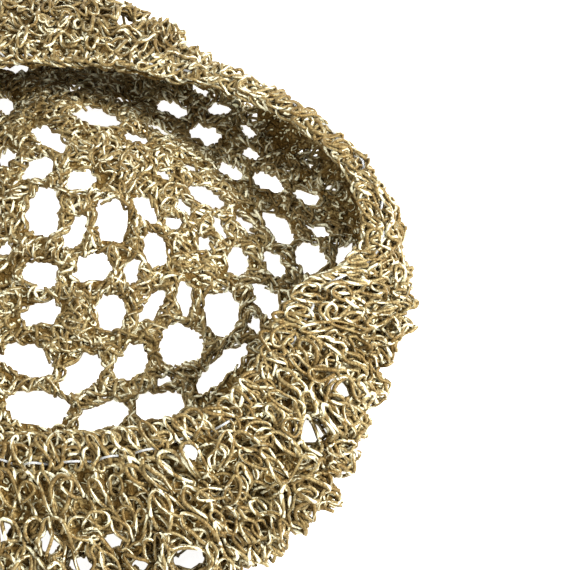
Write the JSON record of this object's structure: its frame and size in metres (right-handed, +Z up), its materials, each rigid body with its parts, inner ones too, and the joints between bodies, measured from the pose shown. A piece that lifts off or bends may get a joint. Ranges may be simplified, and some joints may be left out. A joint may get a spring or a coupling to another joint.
{
  "type": "crochet beret",
  "caption": "Openwork crochet beret in metallic yarn, lying on its net crown with the elasticated head opening facing up",
  "frame": {"origin": "on the surface that the beret lies on, under the middle of its bounding box", "axes": "+Z is up, out of the head opening; +X runs along the long way of the opening; -Y is the near side of the picture"},
  "size_m": [0.2503, 0.2442, 0.0375],
  "materials": {
    "gold_yarn": "metallic gold yarn, twisted",
    "clear_elastic": "clear elastic thread, shiny"
  },
  "bodies": {
    "root": {"crown_centre": "gold_yarn", "crown_net": "gold_yarn", "outer_edge": "gold_yarn", "band": "gold_yarn", "rim": "gold_yarn", "elastic_thread": "clear_elastic"}
  },
  "joints": []
}
